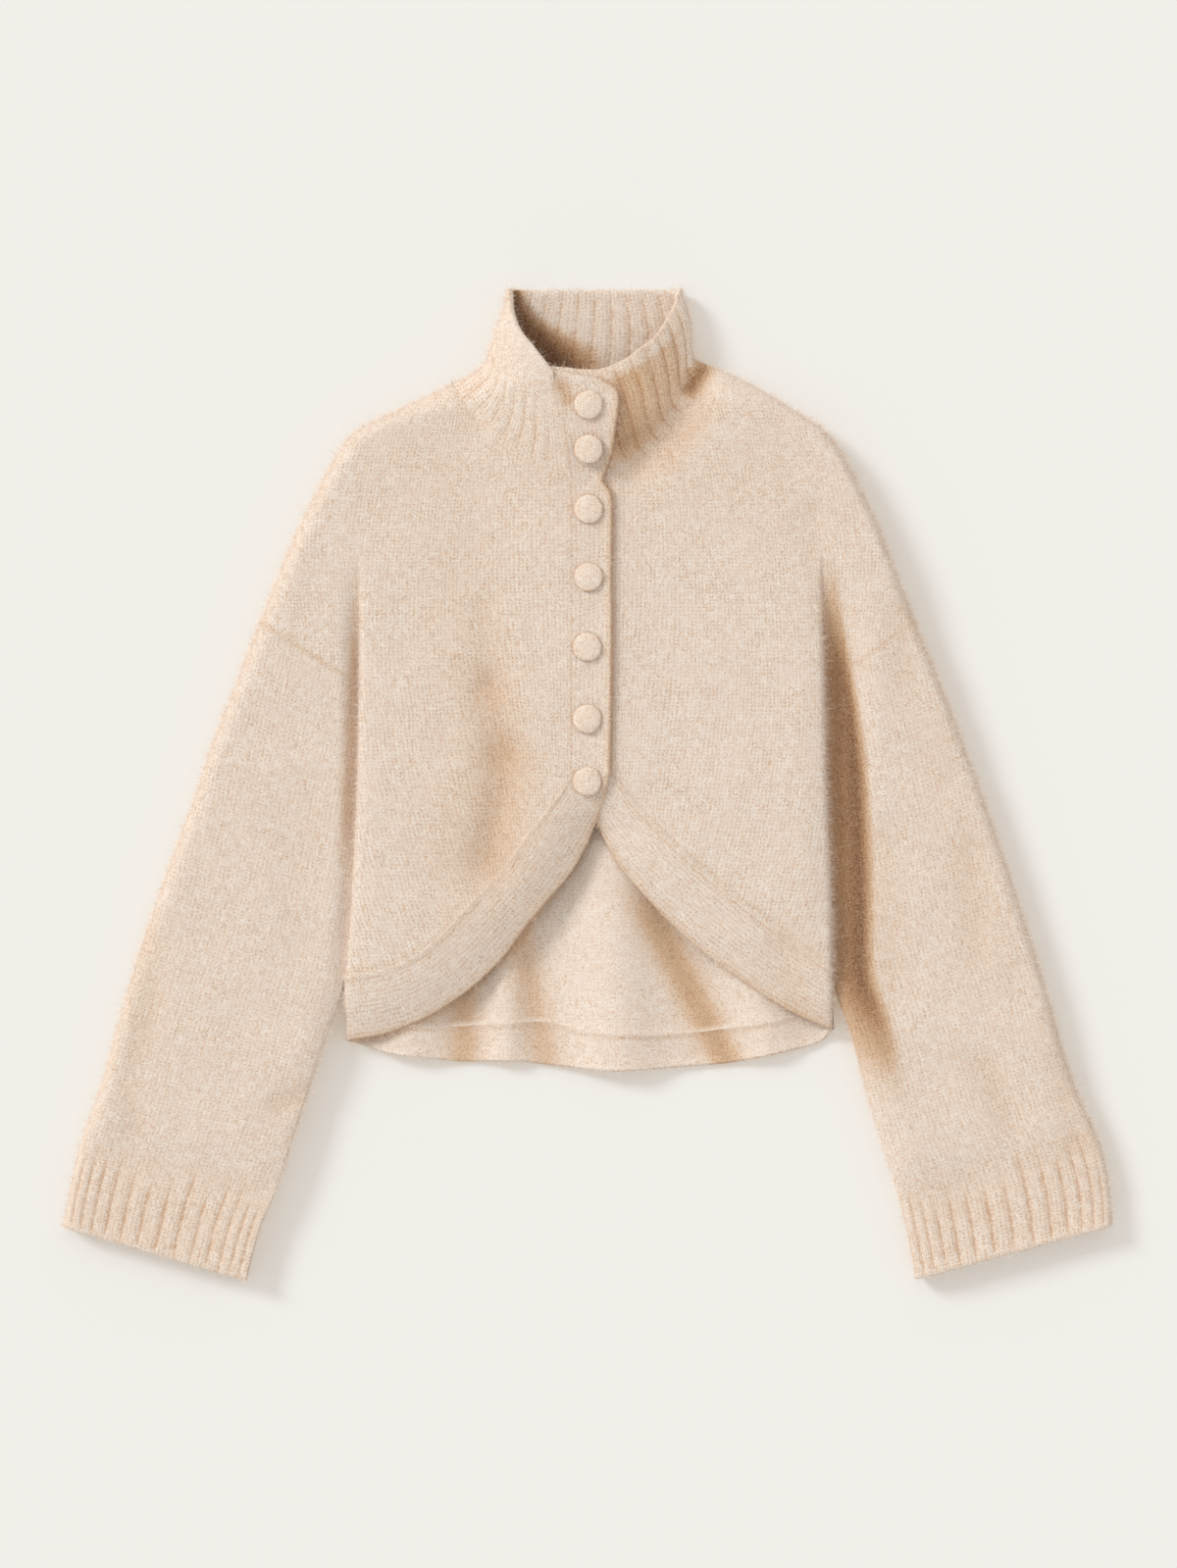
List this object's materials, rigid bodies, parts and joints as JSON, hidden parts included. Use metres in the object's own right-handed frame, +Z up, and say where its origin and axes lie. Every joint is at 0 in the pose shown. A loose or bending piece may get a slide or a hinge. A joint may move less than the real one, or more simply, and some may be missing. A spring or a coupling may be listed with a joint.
{
  "type": "cropped knit cardigan",
  "caption": "Cropped knit cardigan laid flat: high ribbed funnel collar, long sleeves with ribbed cuffs, covered buttons and cutaway curved fronts.",
  "frame": {"origin": "centre of the bounding box in plan, on the surface that the back lies on", "axes": "+X across the garment, to the right as the front is looked at; +Y towards the collar; +Z up, out of the front"},
  "size_m": [0.8059, 0.756, 0.0489],
  "materials": {
    "body_knit": "soft stockinette, cream",
    "sleeve_knit": "brushed, fuzzy stockinette, cream",
    "rib_knit": "rib knit, cream",
    "button_knit": "knit cover over a low dome, cream"
  },
  "bodies": {
    "root": {"back": "body_knit", "back_hem_band": "body_knit", "band_left": "body_knit", "band_right": "body_knit", "front_left": "body_knit", "front_right": "body_knit", "sleeve_left": "sleeve_knit", "sleeve_right": "sleeve_knit", "collar": "rib_knit", "cuff_left": "rib_knit", "cuff_right": "rib_knit", "button_1": "button_knit", "button_2": "button_knit", "button_3": "button_knit", "button_4": "button_knit", "button_5": "button_knit", "button_6": "button_knit", "button_7": "button_knit"}
  },
  "joints": []
}
